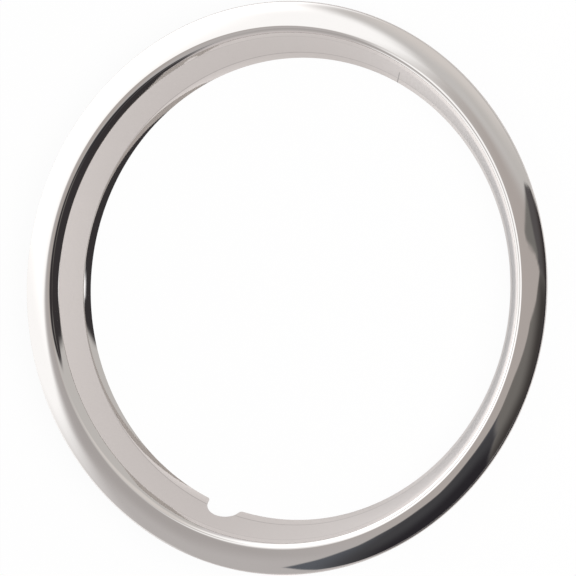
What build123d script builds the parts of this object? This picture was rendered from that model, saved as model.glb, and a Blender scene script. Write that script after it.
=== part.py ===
import os
from math import cos, degrees, radians, sin, tan

from build123d import *

os.makedirs("parts", exist_ok=True)

# Wheel trim ring for a 15 inch wheel: one strip of polished stainless sheet, roll-formed and welded into a ring.
# It lies on its rear edge with the bright face up. Z is the ring's axis, and the valve notch is on the -Y side.

# Driving dimensions, in millimetres and degrees
outer_diameter = 410.0
overall_height = 29.7
sheet = 0.8

# Outer lip: a broad shallow arch whose outer edge is folded under into a flat hem with a rounded nose
lip_radius = 59.0
lip_fall = 16.3
hem_width = 4.0

# Throat: the roll inside the crest and the short slope down to the first crease
crest_roll = 7.0
throat_angle = 57.5
throat_depth = 5.5
throat_bend = 20.0

# Skirt: the cone that reaches back into the wheel, with its rear lip turned slightly inwards
skirt_angle = 60.85
rear_lip_height = 5.8
rear_lip_angle = 58.0
rear_lip_bend = 20.0

# Valve notch: a half-round cut in the rear edge with rounded corners
notch_radius = 13.2
notch_depth = 11.5
notch_corner = 2.5

# Places on the section that follow from those: (radius from the axis, height above the rear edge)
outer_radius = outer_diameter / 2
hem_thickness = 2 * sheet
hem_sweep = degrees(hem_width / lip_radius)
fold_radius = lip_radius - hem_thickness
nose_radius = outer_radius - hem_thickness
crest_radius = nose_radius - fold_radius * sin(radians(lip_fall))
lip_centre = (crest_radius, overall_height - lip_radius)
nose_centre = (nose_radius, overall_height - lip_radius + fold_radius * cos(radians(lip_fall)))
roll_centre = (crest_radius, overall_height - crest_roll)
throat_run = throat_depth - crest_roll * (1 - cos(radians(throat_angle)))
throat_crease = (
    crest_radius - crest_roll * sin(radians(throat_angle)) - throat_run / tan(radians(throat_angle)),
    overall_height - throat_depth,
)
skirt_run = overall_height - throat_depth - rear_lip_height
rear_crease = (throat_crease[0] - skirt_run / tan(radians(skirt_angle)), rear_lip_height)
rear_edge = (rear_crease[0] - rear_lip_height / tan(radians(rear_lip_angle)), 0)
rear_edge_back = (rear_edge[0] + sheet / sin(radians(rear_lip_angle)), 0)


def behind(crease, slope_above, slope_below):
    # The corner on the hidden face of the sheet that lies behind a crease of the bright face
    middle_slope = radians((slope_above + slope_below) / 2)
    reach = sheet / cos(radians((slope_above - slope_below) / 2))
    return (crease[0] + reach * sin(middle_slope), crease[1] - reach * cos(middle_slope))


with BuildPart() as trim_ring:
    with BuildSketch(Plane.XZ) as section:
        with BuildLine() as outline:
            # Bright face, from the nose of the hem over the crest and down to the rear edge
            nose = CenterArc(nose_centre, hem_thickness, 0, 90 - lip_fall)
            CenterArc(lip_centre, lip_radius, 90 - lip_fall, lip_fall)
            bright_roll = CenterArc(roll_centre, crest_roll, 90, throat_angle)
            FilletPolyline(
                bright_roll @ 1,
                throat_crease,
                rear_crease,
                rear_edge,
                radius=(throat_bend, rear_lip_bend),
            )
            # Rear edge, trimmed flat
            Line(rear_edge, rear_edge_back)
            # Hidden face, one sheet behind, back up to the underside of the lip
            hidden_roll = CenterArc(roll_centre, crest_roll - sheet, 90, throat_angle)
            FilletPolyline(
                hidden_roll @ 1,
                behind(throat_crease, throat_angle, skirt_angle),
                behind(rear_crease, skirt_angle, rear_lip_angle),
                rear_edge_back,
                radius=(throat_bend - sheet, rear_lip_bend + sheet),
            )
            hem_start = 90 - lip_fall + hem_sweep
            underside = CenterArc(lip_centre, lip_radius - sheet, hem_start, 90 - hem_start)
            # Hem, folded flat against the underside
            fold = CenterArc(lip_centre, fold_radius, 90 - lip_fall, hem_sweep)
            Line(underside @ 0, fold @ 1)
            Line(fold @ 0, nose @ 0)
        make_face()
    revolve(axis=Axis.Z)

    # Valve notch, cut straight through the skirt from outside
    with BuildSketch(Plane.XZ) as notch:
        Rectangle(notch_radius * 4, notch_radius, align=(Align.CENTER, Align.MAX))
        with Locations((0, notch_depth - notch_radius)):
            Circle(notch_radius)
        mouth = notch.vertices().group_by(Axis.Z)[-1]
        fillet(mouth, radius=notch_corner)
    extrude(amount=outer_radius, mode=Mode.SUBTRACT)

trim_ring.part.label = "trim_ring"
export_step(trim_ring.part, "parts/trim_ring.step")
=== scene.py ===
import math

import bpy
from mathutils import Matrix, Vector


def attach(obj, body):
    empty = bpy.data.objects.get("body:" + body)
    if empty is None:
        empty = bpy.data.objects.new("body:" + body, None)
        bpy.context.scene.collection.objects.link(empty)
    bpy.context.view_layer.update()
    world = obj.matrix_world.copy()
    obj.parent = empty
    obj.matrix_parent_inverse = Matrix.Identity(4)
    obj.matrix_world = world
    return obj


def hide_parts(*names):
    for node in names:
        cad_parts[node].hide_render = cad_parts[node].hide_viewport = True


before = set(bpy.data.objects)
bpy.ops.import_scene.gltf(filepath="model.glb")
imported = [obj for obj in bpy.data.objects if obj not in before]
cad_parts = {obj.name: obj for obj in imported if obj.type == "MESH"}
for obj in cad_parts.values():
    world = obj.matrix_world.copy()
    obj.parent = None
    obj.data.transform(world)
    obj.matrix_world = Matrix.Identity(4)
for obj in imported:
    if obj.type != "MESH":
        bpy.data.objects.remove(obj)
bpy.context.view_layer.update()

scene = bpy.context.scene
scene.view_settings.view_transform = "Standard"


def addObject(name, data):
    made = bpy.data.objects.new(name, data)
    scene.collection.objects.link(made)
    return made


def emptyMaterial(name):
    material = bpy.data.materials.new(name)
    material.use_nodes = True
    material.node_tree.nodes.clear()
    return material


def place(tree, kind, **settings):
    made = tree.nodes.new(kind)
    for key, value in settings.items():
        setattr(made, key, value)
    return made


def feed(tree, socket, value):
    # a socket takes another socket or a plain number
    if isinstance(value, bpy.types.NodeSocket):
        tree.links.new(value, socket)
    elif value is not None:
        socket.default_value = value


def calc(tree, operation, first, second=None, third=None):
    made = place(tree, "ShaderNodeMath", operation=operation)
    for socket, value in zip(made.inputs, (first, second, third)):
        feed(tree, socket, value)
    return made.outputs[0]


def addSockets(tree, names, side, kind):
    for name in names:
        tree.interface.new_socket(name, in_out=side, socket_type=kind)


def fallOff(tree, value, start, stop):
    # 1 up to start, easing to 0 at stop
    ease = place(tree, "ShaderNodeMapRange", interpolation_type="SMOOTHSTEP")
    for socket, number in zip(ease.inputs, (value, start, stop, 1.0, 0.0)):
        feed(tree, socket, number)
    return ease.outputs[0]


def objectPlace(tree):
    return place(tree, "ShaderNodeTexCoord").outputs["Object"]


def ringPlace(tree):
    # a point's distance from the ring's axis, its way round and its height
    parts = place(tree, "ShaderNodeSeparateXYZ")
    feed(tree, parts.inputs[0], objectPlace(tree))
    x, y, z = parts.outputs
    flat = calc(tree, "SQRT", calc(tree, "MULTIPLY_ADD", x, x, calc(tree, "MULTIPLY", y, y)))
    return flat, calc(tree, "ARCTAN2", y, x), z


def makeNoise(tree, where, scale, detail):
    noise = place(tree, "ShaderNodeTexNoise")
    noise.inputs["Scale"].default_value = scale
    noise.inputs["Detail"].default_value = detail
    feed(tree, noise.inputs["Vector"], where)
    return noise.outputs[0]


def mixShaders(tree, amount, first, second):
    mix = place(tree, "ShaderNodeMixShader")
    for socket, value in zip(mix.inputs, (amount, first, second)):
        feed(tree, socket, value)
    return mix.outputs[0]


def addShaders(tree, first, second):
    both = place(tree, "ShaderNodeAddShader")
    feed(tree, both.inputs[0], first)
    feed(tree, both.inputs[1], second)
    return both.outputs[0]


def mirrorRays(tree, rays):
    return calc(tree, "MAXIMUM", rays["Is Glossy Ray"], rays["Is Transmission Ray"])


polish = {
    "lineDensity": 2600.0, "wayStretch": 2.0, "lineDetail": 3.0,  # buffing lines
    "cloudScale": 38.0, "cloudDetail": 4.0, "cloudTone": 0.8,
    "smoothest": 0.01, "bumpDepth": 0.00002,
}


def makePolishMarks(p):
    # faint buffing lines that run round the ring, with soft cloudy patches between them
    group = bpy.data.node_groups.new("polishMarks", "ShaderNodeTree")
    addSockets(group, ("Lines", "Clouds", "Base Roughness"), "INPUT", "NodeSocketFloat")
    addSockets(group, ("Roughness", "Tone", "Height"), "OUTPUT", "NodeSocketFloat")
    given = place(group, "NodeGroupInput").outputs
    result = place(group, "NodeGroupOutput").inputs
    flat, turn, z = ringPlace(group)
    forth = calc(group, "MULTIPLY", calc(group, "COSINE", turn), p["wayStretch"])
    spread = place(group, "ShaderNodeCombineXYZ")  # long in the way round, short across the section
    feed(group, spread.inputs[0], calc(group, "MULTIPLY", flat, p["lineDensity"]))
    feed(group, spread.inputs[1], calc(group, "MULTIPLY", calc(group, "SINE", turn), p["wayStretch"]))
    feed(group, spread.inputs[2], calc(group, "MULTIPLY_ADD", z, p["lineDensity"], forth))
    lines = makeNoise(group, spread.outputs[0], 1.0, p["lineDetail"])
    clouds = makeNoise(group, objectPlace(group), p["cloudScale"], p["cloudDetail"])
    lineShare = calc(group, "MULTIPLY", calc(group, "SUBTRACT", lines, 0.5), given["Lines"])
    cloudShare = calc(group, "MULTIPLY", calc(group, "SUBTRACT", clouds, 0.5), given["Clouds"])
    rough = calc(group, "ADD", calc(group, "ADD", given["Base Roughness"], lineShare), cloudShare)
    feed(group, result["Roughness"], calc(group, "MAXIMUM", rough, p["smoothest"]))
    feed(group, result["Tone"], calc(group, "MULTIPLY_ADD", cloudShare, -p["cloudTone"], 1.0))
    feed(group, result["Height"], lines)
    return group


polishMarks = makePolishMarks(polish)
weld = {  # degrees, degrees a millimetre, metres
    "turn": 81.8, "lean": 0.104, "top": 0.018, "topFade": 0.8,
    "halfWidth": 0.0004, "sideFade": (0.4, 1.6), "shade": 0.5, "rough": 0.12,
}


def makeWeldLine(tree, w):
    # the polished butt weld, a thin leaning line across the skirt
    flat, turn, z = ringPlace(tree)
    lean = math.radians(w["lean"]) * 1000  # radians a metre
    middle = calc(tree, "MULTIPLY_ADD", z, -lean, math.radians(w["turn"]))
    aside = calc(tree, "MULTIPLY", calc(tree, "ABSOLUTE", calc(tree, "SUBTRACT", turn, middle)), flat)
    start, stop = (w["halfWidth"] * part for part in w["sideFade"])
    line = fallOff(tree, aside, start, stop)
    return calc(tree, "MULTIPLY", line, fallOff(tree, z, w["top"] * w["topFade"], w["top"]))


def makeFinish(name, look):
    material = bpy.data.materials.new(name)
    material.use_nodes = True
    tree = material.node_tree
    shader = tree.nodes["Principled BSDF"].inputs
    shader["Metallic"].default_value = 1.0
    marks = place(tree, "ShaderNodeGroup", node_tree=polishMarks)
    marks.inputs["Lines"].default_value = look["lines"]
    marks.inputs["Clouds"].default_value = look["clouds"]
    marks.inputs["Base Roughness"].default_value = look["roughness"]
    tone, rough, height = (marks.outputs[key] for key in ("Tone", "Roughness", "Height"))
    if look["creaseShade"]:
        seam = makeWeldLine(tree, weld)
        fold = place(tree, "ShaderNodeAttribute", attribute_name="creaseShadeMask").outputs["Fac"]
        tone = calc(tree, "MULTIPLY", tone, calc(tree, "MULTIPLY_ADD", seam, -weld["shade"], 1.0))
        # painted shade: the finish is darker in thin lines along the throat's bend and the rear lip's crease,
        # standing in for the shade of fine grooves
        tone = calc(tree, "MULTIPLY", tone, calc(tree, "MULTIPLY_ADD", fold, -look["creaseShade"], 1.0))
        rough = calc(tree, "MULTIPLY_ADD", seam, weld["rough"], rough)
        height = calc(tree, "MULTIPLY_ADD", seam, -1.0, height)
    tint = place(tree, "ShaderNodeMix", data_type="RGBA", blend_type="MULTIPLY")
    tint.inputs[0].default_value = 1.0
    tint.inputs[6].default_value = look["colour"] + (1.0,)
    feed(tree, tint.inputs[7], tone)
    feed(tree, shader["Base Color"], tint.outputs[2])
    feed(tree, shader["Roughness"], rough)
    bump = place(tree, "ShaderNodeBump")
    bump.inputs["Strength"].default_value = look["bump"]
    bump.inputs["Distance"].default_value = polish["bumpDepth"]
    feed(tree, bump.inputs["Height"], height)
    feed(tree, shader["Normal"], bump.outputs[0])
    return material


brightSteel = makeFinish("brightSteel", {
    "colour": (0.60, 0.567, 0.546), "roughness": 0.04, "lines": 0.01, "clouds": 0.02, "bump": 0.05, "creaseShade": 0.35,
})
millSteel = makeFinish("millSteel", {
    "colour": (0.50, 0.48, 0.46), "roughness": 0.34, "lines": 0.10, "clouds": 0.08, "bump": 0.4, "creaseShade": 0.0,
})
print("finishes made")

ring = {  # metres and degrees
    "outerRadius": 0.205, "height": 0.0297, "sheet": 0.0008,
    "lipRadius": 0.059, "lipFall": 16.3, "hemWidth": 0.004,
    "crestRoll": 0.0065, "throatAngle": 54.0, "throatDepth": 0.0055, "throatBend": 0.008,
    "skirtAngle": 61.72, "skirtStart": 0.0002,  # this far below the throat's bend
    "rearLipHeight": 0.00507, "rearLipAngle": 56.4, "rearLipEnd": 52.0,
    # creaseWidth: how far the painted shade line along the rear lip's crease reaches
    "creaseSoft": 0.0004, "creaseWidth": 0.0004, "creaseZone": 0.0014,  # close rows this far from the crease
    "notchRadius": 0.0132, "notchDepth": 0.0115, "notchCorner": 0.0025,
    "stepsRound": 600, "packing": 0.8,  # more steps near the notch
    "sharpAngle": 35.0, "mergeDistance": 0.000001,
    "rows": {
        "nose": 10, "lip": 24, "roll": 24, "bend": 6, "skirt": 8, "crease": 12, "rearLip": 8,
        "bendBack": 2, "rollBack": 9, "lipBack": 8, "hem": 4,
    },
}


def sectionRows(r):
    # the section as a closed row of (radius, height, on the hidden side, on the skirt, on a crease that gets a
    # painted shade line)
    rad, count = math.radians, r["rows"]
    noseBig = 2 * r["sheet"]
    fold = r["lipRadius"] - noseBig
    noseRadius = r["outerRadius"] - noseBig
    crest = noseRadius - fold * math.sin(rad(r["lipFall"]))
    lipMid = (crest, r["height"] - r["lipRadius"])
    noseMid = (noseRadius, lipMid[1] + fold * math.cos(rad(r["lipFall"])))
    rollMid = (crest, r["height"] - r["crestRoll"])
    wall, skirt = r["throatAngle"], r["skirtAngle"]
    run = r["throatDepth"] - r["crestRoll"] * (1 - math.cos(rad(wall)))
    crease = (
        crest - r["crestRoll"] * math.sin(rad(wall)) - run / math.tan(rad(wall)),
        r["height"] - r["throatDepth"],
    )
    reach, middle = r["throatBend"] / math.cos(rad((skirt - wall) / 2)), rad((skirt + wall) / 2)
    bendMid = (crease[0] + reach * math.sin(middle), crease[1] - reach * math.cos(middle))
    rows = []

    def arc(centre, radius, start, stop, steps, hidden, marked=None):
        for k in range(steps + 1):
            a = rad(start + (stop - start) * k / steps)
            spot = (centre[0] + radius * math.cos(a), centre[1] + radius * math.sin(a))
            rows.append(spot + (hidden, 0, 1 if k == marked else 0))

    top = 90 - r["lipFall"]
    arc(noseMid, noseBig, 0, top, count["nose"], 0)
    rows.pop()
    arc(lipMid, r["lipRadius"], top, 90, count["lip"], 0)
    rows.pop()
    arc(rollMid, r["crestRoll"], 90, 90 + wall, count["roll"], 0)
    # the bend's middle row is marked for the painted crease shade
    arc(bendMid, r["throatBend"], 90 + wall, 90 + skirt, count["bend"], 0, count["bend"] // 2)
    pivot = rows[-1][1] - r["skirtStart"]
    above, under = r["rearLipHeight"] + r["creaseZone"], r["rearLipHeight"] - r["creaseZone"]
    spans = ((pivot, above, count["skirt"]), (above, under, count["crease"]), (under, 0.0, count["rearLip"]))
    heights = [a + (b - a) * k / n for a, b, n in spans for k in range(n)] + [0.0]
    low = [(crease[0] - (crease[1] - z) / math.tan(rad(skirt)), z) for z in heights]
    rows += [p + (0, 1, 0) for p in low]
    rows += [p + (1, 1, 0) for p in reversed(low)]
    # hidden face back up: behind the bend, roll, underside and hem
    arc(bendMid, r["throatBend"] - r["sheet"], 90 + skirt, 90 + wall, count["bendBack"], 1)
    arc(rollMid, r["crestRoll"] - r["sheet"], 90 + wall, 90, count["rollBack"], 1)
    rows.pop()
    hem = math.degrees(r["hemWidth"] / r["lipRadius"])
    arc(lipMid, r["lipRadius"] - r["sheet"], 90, top + hem, count["lipBack"], 1)
    arc(lipMid, fold, top + hem, top, count["hem"], 1)
    rows.append(rows[0][:2] + (1, 0, 0))
    return rows, pivot, crease


def makeRingTree():
    tree = bpy.data.node_groups.new("rolledRing", "GeometryNodeTree")
    addSockets(tree, ("Geometry",), "INPUT", "NodeSocketGeometry")
    addSockets(tree, ("Steps Round", "Rows"), "INPUT", "NodeSocketInt")
    addSockets(tree, (
        "Packing", "Sheet", "Pivot", "Skirt Run", "Lip Turn", "Lip Curl",
        "Crease Radius", "Crease Height", "Crease Soft", "Crease Width",
        "Notch Radius", "Notch Depth", "Notch Corner", "Notch Reach", "Sharp Angle", "Merge Distance",
    ), "INPUT", "NodeSocketFloat")
    addSockets(tree, ("Bright Finish", "Hidden Finish"), "INPUT", "NodeSocketMaterial")
    addSockets(tree, ("Geometry",), "OUTPUT", "NodeSocketGeometry")
    given = place(tree, "NodeGroupInput").outputs
    result = place(tree, "NodeGroupOutput").inputs

    def m(operation, first, second=None, third=None):
        return calc(tree, operation, first, second, third)

    def square(value):
        return m("MULTIPLY", value, value)

    def rootOf(value):
        return m("SQRT", m("MAXIMUM", value, 0.0))

    def mark(name):
        named = place(tree, "GeometryNodeInputNamedAttribute", data_type="FLOAT")
        named.inputs["Name"].default_value = name
        return named.outputs[0]

    def keep(mesh, name, value):
        store = place(tree, "GeometryNodeStoreNamedAttribute", data_type="FLOAT", domain="POINT")
        store.inputs["Name"].default_value = name
        feed(tree, store.inputs["Geometry"], mesh)
        feed(tree, store.inputs["Value"], value)
        return store.outputs[0]

    grid = place(tree, "GeometryNodeMeshGrid")
    grid.inputs["Size X"].default_value = 1.0
    grid.inputs["Size Y"].default_value = 1.0
    feed(tree, grid.inputs["Vertices X"], m("ADD", given["Steps Round"], 1.0))
    feed(tree, grid.inputs["Vertices Y"], given["Rows"])
    spot = place(tree, "ShaderNodeSeparateXYZ")
    feed(tree, spot.inputs[0], place(tree, "GeometryNodeInputPosition").outputs[0])
    row = m("ROUND", m("MULTIPLY", m("ADD", spot.outputs[1], 0.5), m("SUBTRACT", given["Rows"], 1.0)))

    def fromSection(kind, field):
        pick = place(tree, "GeometryNodeSampleIndex", data_type=kind, domain="POINT")
        feed(tree, pick.inputs["Geometry"], given["Geometry"])
        feed(tree, pick.inputs["Value"], field)
        feed(tree, pick.inputs["Index"], row)
        return pick.outputs[0]

    point = place(tree, "ShaderNodeSeparateXYZ")
    feed(tree, point.inputs[0], fromSection("FLOAT_VECTOR", place(tree, "GeometryNodeInputPosition").outputs[0]))
    names = ("hiddenSide", "onSkirt", "creaseShadeMask")
    hidden, onSkirt, onCrease = (fromSection("FLOAT", mark(name)) for name in names)

    # the way round from the notch, packed closer beside it
    way = m("MULTIPLY", spot.outputs[0], 2 * math.pi)
    turn = m("SUBTRACT", way, m("MULTIPLY", given["Packing"], m("SINE", way)))

    # height of the notch's edge at this way round: its round top, then its rounded corners
    aside = m("MULTIPLY", m("ABSOLUTE", turn), given["Notch Reach"])
    drop = m("SUBTRACT", given["Notch Depth"], given["Notch Radius"])
    roundTop = m("ADD", drop, rootOf(m("SUBTRACT", square(given["Notch Radius"]), square(aside))))
    reach = m("ADD", given["Notch Radius"], given["Notch Corner"])
    cornerAside = m("SQRT", m("SUBTRACT", square(reach), square(m("SUBTRACT", given["Notch Corner"], drop))))
    meet = m("MULTIPLY", cornerAside, m("DIVIDE", given["Notch Radius"], reach))
    gap = m("SUBTRACT", aside, cornerAside)
    cornerDip = rootOf(m("SUBTRACT", square(given["Notch Corner"]), square(gap)))
    cornerEdge = m("SUBTRACT", given["Notch Corner"], cornerDip)
    inCorner = m("MULTIPLY", m("GREATER_THAN", aside, meet), m("LESS_THAN", aside, cornerAside))
    edge = m("MULTIPLY_ADD", m("LESS_THAN", aside, meet), roundTop, m("MULTIPLY", inCorner, cornerEdge))

    # skirt rows, squeezed up over the notch; the rear lip turns in below its crease
    squeeze = m("DIVIDE", m("SUBTRACT", given["Pivot"], edge), given["Pivot"])
    high = m("MULTIPLY_ADD", m("SUBTRACT", point.outputs[2], given["Pivot"]), squeeze, given["Pivot"])
    below = m("SUBTRACT", given["Crease Height"], high)
    smooth = m("SQRT", m("ADD", square(below), square(given["Crease Soft"])))
    depth = m("MULTIPLY", m("ADD", below, smooth), 0.5)
    halfCurl = m("MULTIPLY", given["Lip Curl"], 0.5)
    inwards = m("MULTIPLY", depth, m("MULTIPLY_ADD", halfCurl, depth, given["Lip Turn"]))
    turned = m("MULTIPLY_ADD", m("DIVIDE", below, smooth), 0.5, 0.5)
    lipSlope = m("MULTIPLY_ADD", given["Lip Curl"], depth, given["Lip Turn"])
    slope = m("MULTIPLY_ADD", turned, lipSlope, given["Skirt Run"])
    cone = m("SUBTRACT", given["Crease Radius"], m("MULTIPLY", below, given["Skirt Run"]))
    brightOut = m("SUBTRACT", cone, inwards)
    thick = m("DIVIDE", m("MULTIPLY", hidden, given["Sheet"]), m("SQRT", m("ADD", square(slope), 1.0)))
    skirtHigh = m("MAXIMUM", m("SUBTRACT", high, m("MULTIPLY", thick, slope)), edge)
    # painted shade: a line along the rear lip's crease, fading out at Crease Width from it
    offCrease = m("DIVIDE", m("ABSOLUTE", below), given["Crease Width"])
    lipCreaseShade = m("MAXIMUM", m("SUBTRACT", 1.0, offCrease), 0.0)

    def choose(plain, special):
        pick = place(tree, "ShaderNodeMix", data_type="FLOAT")
        feed(tree, pick.inputs[0], onSkirt)
        feed(tree, pick.inputs[2], plain)
        feed(tree, pick.inputs[3], special)
        return pick.outputs[0]

    outwards = choose(point.outputs[0], m("ADD", brightOut, thick))
    target = place(tree, "ShaderNodeCombineXYZ")
    feed(tree, target.inputs[0], m("MULTIPLY", outwards, m("SINE", turn)))
    feed(tree, target.inputs[1], m("MULTIPLY", outwards, m("MULTIPLY", m("COSINE", turn), -1.0)))
    feed(tree, target.inputs[2], choose(point.outputs[2], skirtHigh))
    marked = keep(keep(grid.outputs[0], "hiddenSide", hidden), "creaseShadeMask", choose(onCrease, lipCreaseShade))
    shape = place(tree, "GeometryNodeSetPosition")
    feed(tree, shape.inputs["Geometry"], marked)
    feed(tree, shape.inputs["Position"], target.outputs[0])
    joined = place(tree, "GeometryNodeMergeByDistance")
    feed(tree, joined.inputs["Geometry"], shape.outputs[0])
    feed(tree, joined.inputs["Distance"], given["Merge Distance"])
    soft = place(tree, "GeometryNodeSetShadeSmooth", domain="FACE")
    feed(tree, soft.inputs[0], joined.outputs[0])
    sharp = place(tree, "GeometryNodeSetShadeSmooth", domain="EDGE")
    feed(tree, sharp.inputs[0], soft.outputs[0])
    edgeAngle = place(tree, "GeometryNodeInputMeshEdgeAngle").outputs[0]
    feed(tree, sharp.inputs["Selection"], m("GREATER_THAN", edgeAngle, given["Sharp Angle"]))
    sharp.inputs["Shade Smooth"].default_value = False
    plain = place(tree, "GeometryNodeRealizeInstances")
    feed(tree, plain.inputs[0], sharp.outputs[0])
    bright = place(tree, "GeometryNodeSetMaterial")
    feed(tree, bright.inputs[0], plain.outputs[0])
    feed(tree, bright.inputs["Material"], given["Bright Finish"])
    dull = place(tree, "GeometryNodeSetMaterial")
    feed(tree, dull.inputs[0], bright.outputs[0])
    feed(tree, dull.inputs["Selection"], m("GREATER_THAN", mark("hiddenSide"), 0.5))
    feed(tree, dull.inputs["Material"], given["Hidden Finish"])
    feed(tree, result[0], dull.outputs[0])
    return tree


def makeRing(r):
    rows, pivot, crease = sectionRows(r)
    section = bpy.data.meshes.new("ringSection")
    section.from_pydata([(p[0], 0.0, p[1]) for p in rows], [(k, k + 1) for k in range(len(rows) - 1)], [])
    for name, column in (("hiddenSide", 2), ("onSkirt", 3), ("creaseShadeMask", 4)):
        marks = section.attributes.new(name, "FLOAT", "POINT")
        marks.data.foreach_set("value", [float(p[column]) for p in rows])
    maker = addObject("ringSection", section)
    tree = makeRingTree()
    skirtRun = 1 / math.tan(math.radians(r["skirtAngle"]))
    lipStart, lipEnd = (1 / math.tan(math.radians(r[key])) for key in ("rearLipAngle", "rearLipEnd"))
    creaseRadius = crease[0] - (crease[1] - r["rearLipHeight"]) * skirtRun
    values = {
        "Steps Round": r["stepsRound"], "Rows": len(rows), "Packing": r["packing"], "Sheet": r["sheet"],
        "Pivot": pivot, "Skirt Run": skirtRun,
        "Lip Turn": lipStart - skirtRun, "Lip Curl": (lipEnd - lipStart) / r["rearLipHeight"],
        "Crease Radius": creaseRadius, "Crease Height": r["rearLipHeight"],
        "Crease Soft": r["creaseSoft"], "Crease Width": r["creaseWidth"],
        "Notch Radius": r["notchRadius"], "Notch Depth": r["notchDepth"], "Notch Corner": r["notchCorner"],
        "Notch Reach": creaseRadius,
        "Sharp Angle": math.radians(r["sharpAngle"]), "Merge Distance": r["mergeDistance"],
        "Bright Finish": brightSteel, "Hidden Finish": millSteel,
    }
    modifier = maker.modifiers.new("rolledRing", "NODES")
    modifier.node_group = tree
    for item in tree.interface.items_tree:
        if item.in_out == "INPUT" and item.name in values:
            modifier[item.identifier] = values[item.name]
    graph = bpy.context.evaluated_depsgraph_get()
    mesh = bpy.data.meshes.new_from_object(maker.evaluated_get(graph))
    mesh.name = "trimRing"
    maker.modifiers.remove(modifier)
    bpy.data.objects.remove(maker)
    piece = addObject("trimRing", mesh)
    kept = [k for k, finish in enumerate(mesh.materials) if finish]  # the grid starts with an empty slot
    finishes = [mesh.materials[k] for k in kept]
    index = [kept.index(f.material_index) for f in mesh.polygons]
    mesh.materials.clear()
    for finish in finishes:
        mesh.materials.append(finish)
    mesh.polygons.foreach_set("material_index", index)
    mesh.calc_loop_triangles()
    corners = ([mesh.vertices[k].co for k in t.vertices] for t in mesh.loop_triangles)
    volume = sum(a.dot(b.cross(c)) / 6 for a, b, c in corners)
    if volume < 0:
        mesh.flip_normals()
    print("trim ring", len(mesh.loop_triangles), "triangles", round(volume * 1e9), "cubic millimetres")
    return piece


trimRing = makeRing(ring)
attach(trimRing, "root")
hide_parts("trim_ring")

floorLook = {
    "size": 8.0, "colour": 0.90, "grain": 0.01, "grainScale": 7.5, "grainDetail": 2.0,
    "sheen": 0.04, "edgeSheen": 0.25, "roughness": 0.35,
    "paintedGlareLevel": 0.6, "from": (0.943, 0.332, 0.0), "glareRange": (0.62, 0.95),  # painted glare: the floor glows by emission for rays from this side, seen against the soft box
    "cameraShare": 0.95, "mirrorShare": 0.1,  # how white the floor is to the camera and to the metal
}


def makeFloor(look):
    mesh = bpy.data.meshes.new("paleFloor")
    half = look["size"] / 2
    mesh.from_pydata([(-half, -half, 0), (half, -half, 0), (half, half, 0), (-half, half, 0)], [], [(0, 1, 2, 3)])
    floor = addObject("paleFloor", mesh)
    material = emptyMaterial("palePaper")
    tree = material.node_tree
    rays = place(tree, "ShaderNodeLightPath").outputs
    shade = place(tree, "ShaderNodeMapRange")
    shade.inputs["To Min"].default_value = look["colour"] - look["grain"]
    shade.inputs["To Max"].default_value = look["colour"] + look["grain"]
    feed(tree, shade.inputs[0], makeNoise(tree, objectPlace(tree), look["grainScale"], look["grainDetail"]))
    paper = place(tree, "ShaderNodeBsdfDiffuse")
    feed(tree, paper.inputs["Color"], shade.outputs[0])
    sheen = place(tree, "ShaderNodeBsdfGlossy")
    sheen.inputs["Roughness"].default_value = look["roughness"]
    grazing = place(tree, "ShaderNodeFresnel").outputs[0]
    feed(tree, sheen.inputs["Color"], calc(tree, "MULTIPLY_ADD", grazing, look["edgeSheen"], look["sheen"]))
    satin = addShaders(tree, paper.outputs[0], sheen.outputs[0])
    # painted glare: an emission on the floor, up to this level, for rays that come from the picture's right and
    # travel left, standing in for the soft box's sheen on the paper
    back = place(tree, "ShaderNodeVectorMath", operation="DOT_PRODUCT")
    feed(tree, back.inputs[0], place(tree, "ShaderNodeNewGeometry").outputs["Incoming"])
    back.inputs[1].default_value = look["from"]
    away = fallOff(tree, back.outputs["Value"], *look["glareRange"])
    paintedGlareLight = place(tree, "ShaderNodeEmission")
    feed(tree, paintedGlareLight.inputs["Strength"], calc(tree, "MULTIPLY_ADD", away, -look["paintedGlareLevel"], look["paintedGlareLevel"]))
    lit = addShaders(tree, satin, paintedGlareLight.outputs[0])
    white = place(tree, "ShaderNodeEmission").outputs[0]
    filmed = calc(tree, "MULTIPLY", rays["Is Camera Ray"], look["cameraShare"])
    mirrored = calc(tree, "MULTIPLY", mirrorRays(tree, rays), look["mirrorShare"])
    surface = mixShaders(tree, calc(tree, "MAXIMUM", filmed, mirrored), lit, white)
    feed(tree, place(tree, "ShaderNodeOutputMaterial").inputs[0], surface)
    mesh.materials.append(material)
    return floor


paleFloor = makeFloor(floorLook)
print("floor made")

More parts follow.
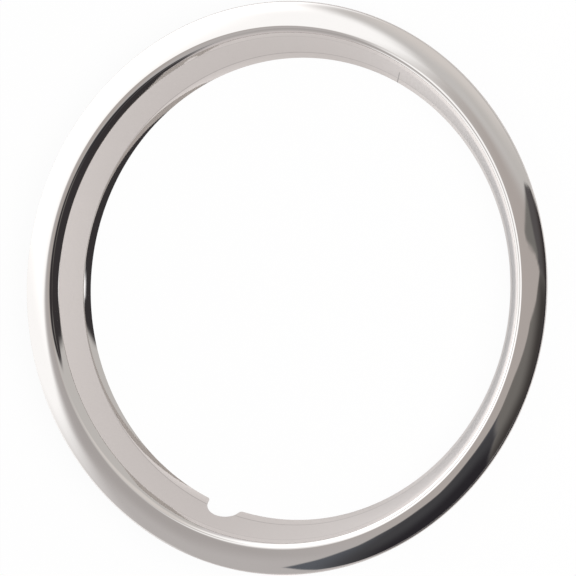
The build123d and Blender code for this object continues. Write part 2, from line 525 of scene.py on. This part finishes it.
studio = {
    "turn": 19.4,  # from the picture's right hand to +X, degrees
    "dimming": 0.7,  # of the light that the ring throws on the floor
    # painted reflections: the tent is a glowing sheet that only mirror rays see, with a painted soft box, room
    # walls and a dark side
    # walls of the tent, each over those before it: glow, softness of the edge in degrees and its growth with each
    # degree from the front, outline in degrees from the ring's axis, right and up in the picture
    "distance": 6.0, "step": 1.5, "crowding": 1.5, "widest": 97.0,  # crowded in front, where the lip looks
    "plainGlow": (0.86, 0.865, 0.865), "front": (-24.5, 1.5), "tentBounces": 99,
    "walls": {
        "topWall": {
            "glow": (0.95, 0.94, 0.97), "soft": 30,
            "outline": [
                (-60, 60), (100, 60), (100, 130), (-130, 130), (-130, 75),
            ],
        },
        "lowerWall": {
            "glow": (0.71, 0.7, 0.705), "soft": 8,
            "outline": [
                (-130, -10), (-60, -18), (-28, -3), (-24, -1), (-12, -4), (8, -22), (12, -60), (-130, -60),
            ],
        },
        "footWall": {
            "glow": (0.88, 0.85, 0.86), "soft": 25,
            "outline": [
                (-130, -55), (30, -55), (30, -130), (-130, -130),
            ],
        },
        "frontWall": {
            "glow": (0.66, 0.625, 0.605), "soft": 7,
            "outline": [
                (-28, -1), (-24, 3), (-19, 8), (-15, 11), (-11, 10), (6, 10), (14, 6), (14, -14), (2, -26),
                (-14, -20), (-22, -6),
            ],
        },
        "darkSide": {
            "glow": (0.058, 0.054, 0.058), "soft": 12,
            "outline": [
                (13, 40), (130, 60), (130, -60), (80, -90), (45, -100), (22, -94), (8, -85), (-1, -74),
                (-6, -63), (-4, -52), (5, -43), (12, -34), (15, -20), (14, -5), (11, 8),
            ],
        },
        "rightWall": {
            "glow": (0.81, 0.81, 0.8), "soft": 5,
            "outline": [
                (11, 8), (30, 19.5), (45, 25), (60, 29), (74, 29), (84, 22), (92, 14), (97, 10), (130, 10),
                (130, 100), (-8, 100), (-8, 14),
            ],
        },
        "upperWall": {
            "glow": (1.02, 1.0, 0.98), "soft": 12,
            "outline": [
                (-18, 42), (-14, 30), (-10, 23), (0, 19), (12, 20), (14, 60), (-16, 60),
            ],
        },
        "horizonStrip": {
            "glow": (1.8, 1.85, 1.9), "soft": 2,
            "outline": [
                (88, -16), (84.5, -7), (83, 0), (83.5, 6), (86, 11), (88, 16), (96, 16), (100, 0), (97, -18),
            ],
        },
        "softBox": {
            "glow": (1.6, 1.65, 1.68), "soft": 1.5, "grow": 0.2,
            "outline": [
                (-13, 52), (-10, 45), (-11, 39), (-20, 36), (-26, 34.5), (-23, 31), (-20, 28), (-17.8, 25),
                (-16.5, 21), (-16.2, 17.5), (-18, 11.5), (-20, 9), (-22.2, 6.0), (-24.6, 3.0), (-26.5, -0.2),
                (-30, -8), (-36, -18), (-40, -25), (-43, -35), (-48, -45), (-57, -52), (-80, -52), (-100, -42),
                (-130, -30), (-130, 50), (-105, 54), (-75, 66), (-55, 73), (-30, 75), (-21, 69), (-16, 60),
            ],
        },
        "softCore": {
            "glow": (2.2, 2.25, 2.3), "soft": 14,
            "outline": [
                (-24, 55), (-24, 30), (-32, 24), (-32, 8), (-38, 3), (-46, 5), (-60, 10), (-130, 10),
                (-130, 40), (-105, 44), (-75, 55), (-50, 62), (-30, 62),
            ],
        },
    },
    # painted reflection cards close above the ring, dark and grey patches that only mirror rays see, in metres,
    # right and up in the picture; a card on another keeps inside it
    "cardHeight": 0.4, "cardStep": 0.006, "cardArea": (-0.9, -0.6, 0.34, 0.22), "cardFront": (-0.36, 0.06),
    "cardBounces": 1,
    "cards": {
        "greyCard": {
            "glow": (0.74, 0.73, 0.735), "soft": 0.03, "grow": 1.6,
            "outline": [
                (-0.29, 0.13), (-0.345, 0.1), (-0.402, -0.001), (-0.434, -0.104), (-0.472, -0.166),
                (-0.527, -0.215), (-0.6, -0.265), (-0.7, -0.29), (-0.9, -0.36), (-0.9, -0.6), (-0.44, -0.58),
                (-0.188, -0.54), (-0.12, -0.36), (-0.15, -0.2), (-0.22, -0.05),
            ],
        },
        "frontCard": {
            "on": "greyCard", "glow": (0.62, 0.605, 0.605), "soft": 0.15,
            "outline": [
                (-0.45, -0.16), (-0.37, 0.0), (-0.3, 0.05), (-0.1, -0.1), (-0.1, -0.25), (-0.3, -0.28),
            ],
        },
        "warmCard": {
            "glow": (0.25, 0.245, 0.235), "soft": 0.01,
            "outline": [
                (0.223, 0.036), (0.21, 0.019), (0.196, 0.006), (0.189, -0.006), (0.171, -0.017),
                (0.143, -0.029), (0.138, -0.043), (0.126, -0.057), (0.113, -0.068), (0.093, -0.08),
                (0.083, -0.096), (0.077, -0.117), (0.086, -0.134), (0.13, -0.171), (0.137, -0.191),
                (0.152, -0.22), (0.178, -0.257), (0.21, -0.27), (0.3, -0.17), (0.32, 0.0), (0.3, 0.03),
            ],
        },
        "outerCard": {
            "on": "warmCard", "glow": (0.075, 0.07, 0.068), "soft": 0.1,
            "outline": [
                (0.21, 0.03), (0.2, -0.05), (0.195, -0.13), (0.16, -0.18), (0.15, -0.22), (0.16, -0.29),
                (0.34, -0.28), (0.34, 0.03),
            ],
        },
        "upperCard": {
            "glow": (0.275, 0.275, 0.265), "soft": 0.01,
            "outline": [
                (0.204, 0.151), (0.195, 0.139), (0.166, 0.11), (0.132, 0.083), (0.106, 0.065), (0.109, 0.06),
                (0.126, 0.056), (0.159, 0.054), (0.187, 0.05), (0.202, 0.042), (0.22, 0.034), (0.32, 0.012),
                (0.32, 0.18), (0.25, 0.162),
            ],
        },
        "upperCore": {
            "on": "upperCard", "glow": (0.14, 0.135, 0.14), "soft": 0.018,
            "outline": [
                (0.2, 0.16), (0.192, 0.125), (0.187, 0.095), (0.194, 0.076), (0.211, 0.052), (0.2, 0.02),
                (0.34, 0.0), (0.34, 0.2),
            ],
        },
        "upperEdge": {
            "on": "upperCard", "glow": (0.07, 0.06, 0.06), "soft": 0.06,
            "outline": [
                (0.255, 0.2), (0.25, 0.1), (0.26, 0.0), (0.4, 0.0), (0.4, 0.2),
            ],
        },
        "blackCard": {
            "glow": (0.16, 0.18, 0.21), "soft": 0.01,
            "outline": [
                (0.079, -0.117), (0.065, -0.131), (0.047, -0.146), (0.034, -0.158), (0.02, -0.18),
                (0.01, -0.195), (-0.016, -0.206), (-0.037, -0.222), (-0.057, -0.238), (-0.074, -0.265),
                (-0.097, -0.284), (-0.121, -0.312), (-0.151, -0.343), (-0.181, -0.378), (-0.158, -0.411),
                (-0.133, -0.43), (-0.096, -0.44), (-0.03, -0.455), (0.06, -0.44), (0.14, -0.4), (0.21, -0.33),
                (0.21, -0.27), (0.178, -0.257), (0.152, -0.22), (0.137, -0.191), (0.13, -0.171),
                (0.086, -0.134),
            ],
        },
        "blackMiddle": {
            "on": "blackCard", "glow": (0.085, 0.087, 0.096), "soft": 0.09,
            "outline": [
                (0.12, -0.1), (-0.02, -0.15), (-0.06, -0.22), (-0.08, -0.3), (-0.11, -0.4), (-0.1, -0.5),
                (0.3, -0.45), (0.25, -0.2),
            ],
        },
        "blackCore": {
            "on": "blackCard", "glow": (0.035, 0.033, 0.04), "soft": 0.08,
            "outline": [
                (0.15, -0.19), (0.1, -0.2), (0.06, -0.24), (0.02, -0.29), (-0.03, -0.36), (-0.06, -0.5),
                (0.3, -0.45), (0.25, -0.2),
            ],
        },
    },
}


def fromEdge(x, y, outline):
    # distance to the outline, inside positive
    inside, nearest = False, math.inf
    for k in range(len(outline)):
        (ax, ay), (bx, by) = outline[k - 1], outline[k]
        if (ay > y) != (by > y) and x < (bx - ax) * (y - ay) / (by - ay) + ax:
            inside = not inside
        length = (bx - ax) ** 2 + (by - ay) ** 2
        t = max(0.0, min(1.0, ((x - ax) * (bx - ax) + (y - ay) * (by - ay)) / length)) if length else 0.0
        nearest = min(nearest, math.hypot(x - ax - t * (bx - ax), y - ay - t * (by - ay)))
    return nearest if inside else -nearest


def share(patch, x, y, front, power):
    # how much of the place a patch covers, with its soft edge
    soft = patch["soft"] + patch.get("grow", 0) * math.hypot(x - front[0], y - front[1]) ** power
    t = max(0.0, min(1.0, 0.5 + fromEdge(x, y, patch["outline"]) / soft))
    return t * t * (3 - 2 * t)


def gridFaces(across, up):
    starts = [j * across + i for j in range(up - 1) for i in range(across - 1)]
    return [(k, k + across, k + across + 1, k + 1) for k in starts]


def makePaintedReflectionSheet(name, points, faces, glow, bounces, dimming):
    # a sheet of painted reflection that only the mirror finish sees, over so many bounces; alpha thins it out
    mesh = bpy.data.meshes.new(name)
    mesh.from_pydata(points, [], faces)
    colours = mesh.attributes.new("glow", "FLOAT_COLOR", "POINT")
    colours.data.foreach_set("color", [v for c in glow for v in c])
    sheet = addObject(name, mesh)
    material = emptyMaterial(name)
    tree = material.node_tree
    shine = place(tree, "ShaderNodeAttribute", attribute_name="glow").outputs
    rays = place(tree, "ShaderNodeLightPath").outputs
    again = calc(tree, "GREATER_THAN", rays["Ray Depth"], 1.5)
    lift = place(tree, "ShaderNodeVectorMath", operation="MAXIMUM")  # never dark in a mirror of a mirror
    feed(tree, lift.inputs[0], shine["Color"])
    feed(tree, lift.inputs[1], again)
    thrown = calc(tree, "GREATER_THAN", rays["Diffuse Depth"], 0.5)  # light that the ring throws on the floor
    light = place(tree, "ShaderNodeEmission")
    feed(tree, light.inputs["Color"], lift.outputs[0])
    feed(tree, light.inputs["Strength"], calc(tree, "MULTIPLY_ADD", thrown, -dimming, 1.0))
    near = calc(tree, "LESS_THAN", rays["Ray Depth"], bounces + 0.5)
    clear = place(tree, "ShaderNodeBsdfTransparent").outputs[0]
    surface = mixShaders(tree, calc(tree, "MULTIPLY", shine["Alpha"], near), clear, light.outputs[0])
    feed(tree, place(tree, "ShaderNodeOutputMaterial").inputs[0], surface)
    mesh.materials.append(material)
    sheet.visible_camera = sheet.visible_diffuse = sheet.visible_transmission = False
    sheet.visible_volume_scatter = sheet.visible_shadow = False


def makePaintedReflectionTent(s):
    turn, far, widest = math.radians(s["turn"]), s["distance"], s["widest"]
    count = int(2 * widest / s["step"]) + 1
    span = [2 * k / (count - 1) - 1 for k in range(count)]
    span = [widest * math.copysign(abs(v) ** s["crowding"], v) for v in span]
    points, glow = [], []
    for y in span:
        for x in span:
            squeeze = min(1.0, widest / max(math.hypot(x, y), 1e-9))
            px, py = x * squeeze, y * squeeze
            tilt, way = math.radians(math.hypot(px, py)), math.atan2(py, px) + turn
            flat = far * math.sin(tilt)
            points.append((flat * math.cos(way), flat * math.sin(way), far * math.cos(tilt)))
            colour = s["plainGlow"]
            for wall in s["walls"].values():
                t = share(wall, px, py, s["front"], 1)
                colour = tuple(a * (1 - t) + b * t for a, b in zip(colour, wall["glow"]))
            glow.append(colour + (1.0,))
    makePaintedReflectionSheet("studioTent", points, gridFaces(count, count), glow, s["tentBounces"], s["dimming"])


# painted reflections: glowing cards that put dark and grey patches into the metal's mirror image
def makePaintedReflectionCards(s):
    turn, step = math.radians(s["turn"]), s["cardStep"]
    left, low, right, high = s["cardArea"]
    across, up = int((right - left) / step) + 1, int((high - low) / step) + 1
    points, glow = [], []
    for j in range(up):
        for i in range(across):
            x, y = left + i * step, low + j * step
            cardX = x * math.cos(turn) - y * math.sin(turn)
            cardY = x * math.sin(turn) + y * math.cos(turn)
            points.append((cardX, cardY, s["cardHeight"]))
            colour, cover = (0.0, 0.0, 0.0), 0.0
            seen = {}
            for name, card in s["cards"].items():
                t = seen[name] = share(card, x, y, s["cardFront"], 2)
                if "on" in card:
                    t = min(t, seen[card["on"]])
                whole = cover + t - cover * t
                if whole:
                    colour = tuple((a * cover * (1 - t) + b * t) / whole for a, b in zip(colour, card["glow"]))
                cover = whole
            glow.append(colour + (cover,))
    faces = [f for f in gridFaces(across, up) if any(glow[k][3] for k in f)]
    makePaintedReflectionSheet("studioCards", points, faces, glow, s["cardBounces"], s["dimming"])


makePaintedReflectionTent(studio)
makePaintedReflectionCards(studio)

lamp = {"place": (2.06, 0.53, 2.2), "size": 2.0, "energy": 75.0, "colour": (1.0, 0.965, 0.96)}


def makeLamp(look):
    data = bpy.data.lights.new("softLamp", "AREA")
    data.shape = "DISK"
    data.size = look["size"]
    data.energy = look["energy"]
    data.color = look["colour"]
    thing = addObject("softLamp", data)
    thing.location = look["place"]
    thing.rotation_euler = (-Vector(look["place"])).to_track_quat("-Z", "Y").to_euler()
    thing.visible_glossy = thing.visible_camera = False


makeLamp(lamp)

room = {"colour": (1.0, 0.975, 0.985), "fill": 0.43}


def makeRoom(look):
    world = bpy.data.worlds.new("paleRoom")
    scene.world = world
    world.use_nodes = True
    tree = world.node_tree
    tree.nodes.clear()
    rays = place(tree, "ShaderNodeLightPath").outputs
    seen = calc(tree, "MAXIMUM", rays["Is Camera Ray"], mirrorRays(tree, rays))
    fill = place(tree, "ShaderNodeBackground")
    fill.inputs["Color"].default_value = look["colour"] + (1.0,)
    fill.inputs["Strength"].default_value = look["fill"]
    white = place(tree, "ShaderNodeBackground")
    white.inputs["Color"].default_value = (1.0, 1.0, 1.0, 1.0)
    surface = mixShaders(tree, seen, fill.outputs[0], white.outputs[0])
    feed(tree, place(tree, "ShaderNodeOutputWorld").inputs[0], surface)


makeRoom(room)
print("studio made")

view = {
    "place": (1.66790, 0.48050, 3.74025), "turn": (1.7093, 24.93, 20.1207),
    "lens": 358.756, "sensor": 36.0, "farthest": 50.0,
}


def makeCamera(look):
    data = bpy.data.cameras.new("photoCamera")
    data.lens = look["lens"]
    data.sensor_width = look["sensor"]
    data.clip_end = look["farthest"]
    camera = addObject("photoCamera", data)
    camera.location = look["place"]
    camera.rotation_euler = [math.radians(a) for a in look["turn"]]
    scene.camera = camera


makeCamera(view)

bpy.context.view_layer.update()
